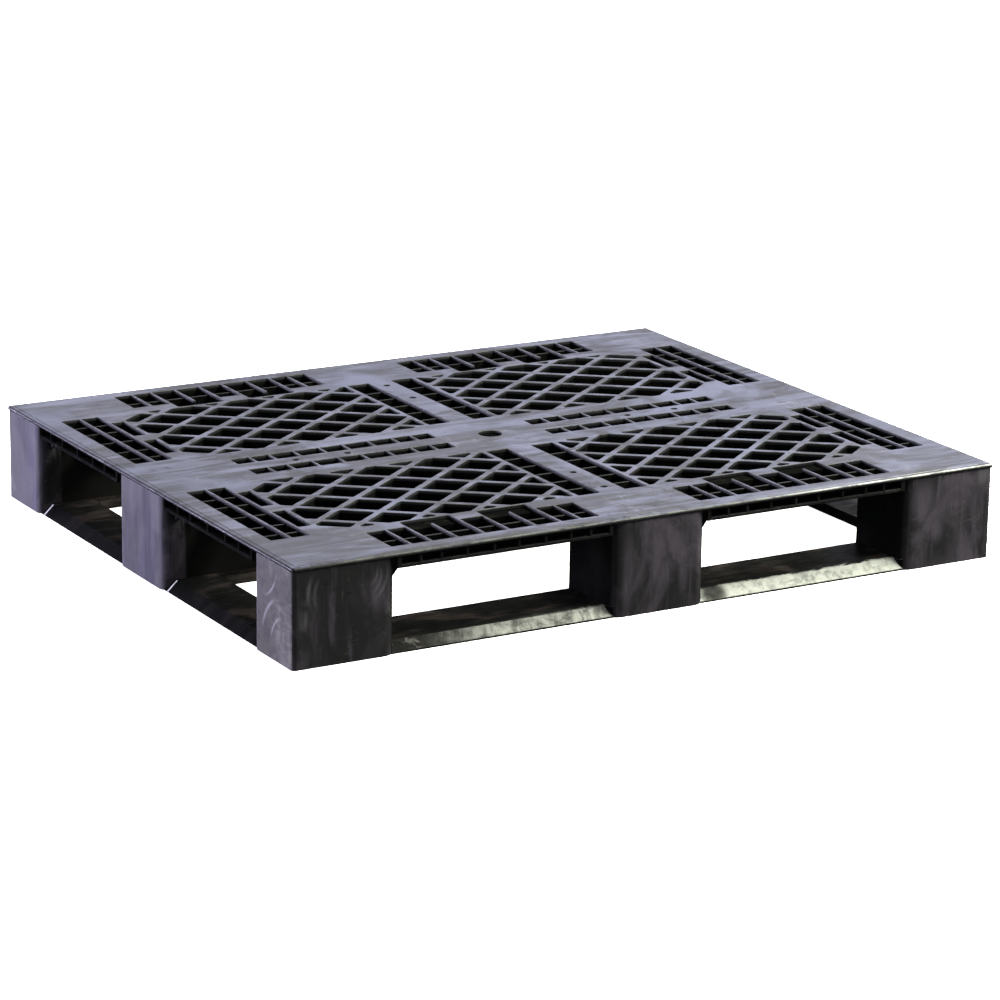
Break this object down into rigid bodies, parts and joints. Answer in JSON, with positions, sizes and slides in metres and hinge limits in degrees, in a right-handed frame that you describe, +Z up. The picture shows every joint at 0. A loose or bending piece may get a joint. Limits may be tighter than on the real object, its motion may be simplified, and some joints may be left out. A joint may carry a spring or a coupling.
{
  "type": "plastic pallet",
  "caption": "Rackable four-way plastic pallet with an open lattice deck, hollow blocks and a ramped base frame.",
  "frame": {"origin": "centre of the footprint, on the floor", "axes": "+X along the 48-inch side, +Y along the 40-inch side, +Z up"},
  "size_m": [1.2192, 1.016, 0.1524],
  "materials": {
    "deck_plastic": "moulded black polyethylene, scuffed",
    "block_plastic": "moulded black polyethylene, scuffed",
    "base_plastic": "moulded black polyethylene, worn on the ramps",
    "tube_steel": "zinc plated",
    "screw_steel": "black zinc"
  },
  "bodies": {
    "root": {"top_deck": "deck_plastic", "block_front_left": "block_plastic", "block_front_middle": "block_plastic", "block_front_right": "block_plastic", "block_middle_left": "block_plastic", "block_centre": "block_plastic", "block_middle_right": "block_plastic", "block_back_left": "block_plastic", "block_back_middle": "block_plastic", "block_back_right": "block_plastic", "base_frame": "base_plastic", "deck_tube_long": "tube_steel", "deck_tube_front": "tube_steel", "deck_tube_back": "tube_steel", "base_tube_front": "tube_steel", "base_tube_middle": "tube_steel", "base_tube_back": "tube_steel", "deck_screw_1": "screw_steel", "deck_screw_2": "screw_steel", "deck_screw_3": "screw_steel", "deck_screw_4": "screw_steel", "deck_screw_5": "screw_steel", "deck_screw_6": "screw_steel", "deck_screw_7": "screw_steel", "deck_screw_8": "screw_steel", "block_screw_front_left": "screw_steel", "block_screw_front_middle": "screw_steel", "block_screw_front_right": "screw_steel", "block_screw_middle_left": "screw_steel", "block_screw_centre": "screw_steel", "block_screw_middle_right": "screw_steel", "block_screw_back_left": "screw_steel", "block_screw_back_middle": "screw_steel", "block_screw_back_right": "screw_steel"}
  },
  "joints": []
}
